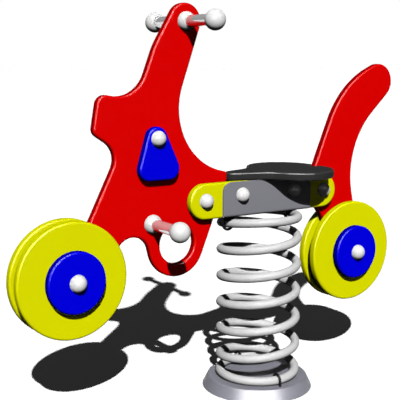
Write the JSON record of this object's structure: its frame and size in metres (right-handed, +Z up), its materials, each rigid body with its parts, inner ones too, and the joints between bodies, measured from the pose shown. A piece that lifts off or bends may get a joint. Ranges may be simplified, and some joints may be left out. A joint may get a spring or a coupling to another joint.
{
  "type": "playground spring rider",
  "caption": "Ride-on motorbike shape of bolted plastic boards with seat, handlebar, footrest and disc wheels, rocking on a coil spring over a round ground base.",
  "frame": {"origin": "centre of the base's underside, on the ground under the spring's axis", "axes": "+Z up, the rider faces -X, so -Y is the rider's left"},
  "size_m": [1.024, 0.284, 0.8945],
  "materials": {
    "painted_cast_iron": "cast, grey gloss paint",
    "powder_coated_spring_steel": "off-white powder coat",
    "painted_steel_plate": "folded plate, satin grey paint",
    "yellow_hdpe_board": "routed board, smooth, edges rounded",
    "red_hdpe_board": "routed board, smooth, edges rounded",
    "blue_hdpe_board": "routed board, smooth, edges rounded",
    "charcoal_hdpe_board": "routed board, fine grain",
    "white_moulded_plastic": "injection moulded, glossy",
    "polished_steel_tube": "polished stainless tube",
    "turned_brass": "turned",
    "acetal": "turned",
    "black_zinc_plated_steel": "black zinc plated",
    "zinc_plated_steel": "zinc plated"
  },
  "bodies": {
    "base": {"base_casting": "painted_cast_iron", "lower_u_bolts": "black_zinc_plated_steel", "lower_u_nuts": "black_zinc_plated_steel"},
    "spring": {"main_spring": "powder_coated_spring_steel"},
    "rider": {"saddle_bracket": "painted_steel_plate", "coil_packing": "charcoal_hdpe_board", "upper_u_bolts": "black_zinc_plated_steel", "upper_u_nuts": "black_zinc_plated_steel", "strap_left": "yellow_hdpe_board", "strap_right": "yellow_hdpe_board", "spacer_block": "charcoal_hdpe_board", "front_panel": "red_hdpe_board", "rear_panel": "red_hdpe_board", "seat": "charcoal_hdpe_board", "seat_inserts": "turned_brass", "seat_bolts": "zinc_plated_steel", "strap_bolts": "zinc_plated_steel", "bracket_bolts": "zinc_plated_steel", "tank_bolt": "zinc_plated_steel", "tie_nuts": "zinc_plated_steel", "tie_caps": "white_moulded_plastic", "tank_plate_left": "blue_hdpe_board", "tank_plate_right": "blue_hdpe_board", "tank_dowel": "zinc_plated_steel", "handlebar": "polished_steel_tube", "handle_collars": "white_moulded_plastic", "handle_balls": "white_moulded_plastic", "footrest_bar": "polished_steel_tube", "footrest_collars": "white_moulded_plastic", "footrest_balls": "white_moulded_plastic", "collar_screws": "zinc_plated_steel", "front_bush": "acetal", "rear_bush": "acetal"},
    "front_wheel": {"front_disc_left": "yellow_hdpe_board", "front_disc_right": "yellow_hdpe_board", "front_hub_left": "blue_hdpe_board", "front_hub_right": "blue_hdpe_board", "front_axle": "zinc_plated_steel", "front_sleeve": "zinc_plated_steel", "front_axle_nuts": "zinc_plated_steel", "front_axle_caps": "white_moulded_plastic"},
    "rear_wheel": {"rear_disc_left": "yellow_hdpe_board", "rear_disc_right": "yellow_hdpe_board", "rear_hub_left": "blue_hdpe_board", "rear_hub_right": "blue_hdpe_board", "rear_axle": "zinc_plated_steel", "rear_sleeve": "zinc_plated_steel", "rear_axle_nuts": "zinc_plated_steel", "rear_axle_caps": "white_moulded_plastic"}
  },
  "joints": [
    {"name": "rock_fore_aft", "type": "hinge", "parent": "base", "child": "spring", "pos_m": [0, 0, 0.2255], "axis": [0, 1, 0], "range_deg": [-15, 15], "stiffness_Nm_per_rad": 414, "deforming": ["main_spring"]},
    {"name": "rock_side", "type": "hinge", "parent": "spring", "child": "rider", "pos_m": [0, 0, 0.2255], "axis": [1, 0, 0], "range_deg": [-10, 10], "stiffness_Nm_per_rad": 414, "deforming": ["main_spring"]},
    {"name": "front_wheel_spin", "type": "hinge", "parent": "rider", "child": "front_wheel", "pos_m": [-0.494, 0, 0.326], "axis": [0, 1, 0], "continuous": true},
    {"name": "rear_wheel_spin", "type": "hinge", "parent": "rider", "child": "rear_wheel", "pos_m": [0.2705, 0, 0.303], "axis": [0, 1, 0], "continuous": true}
  ]
}
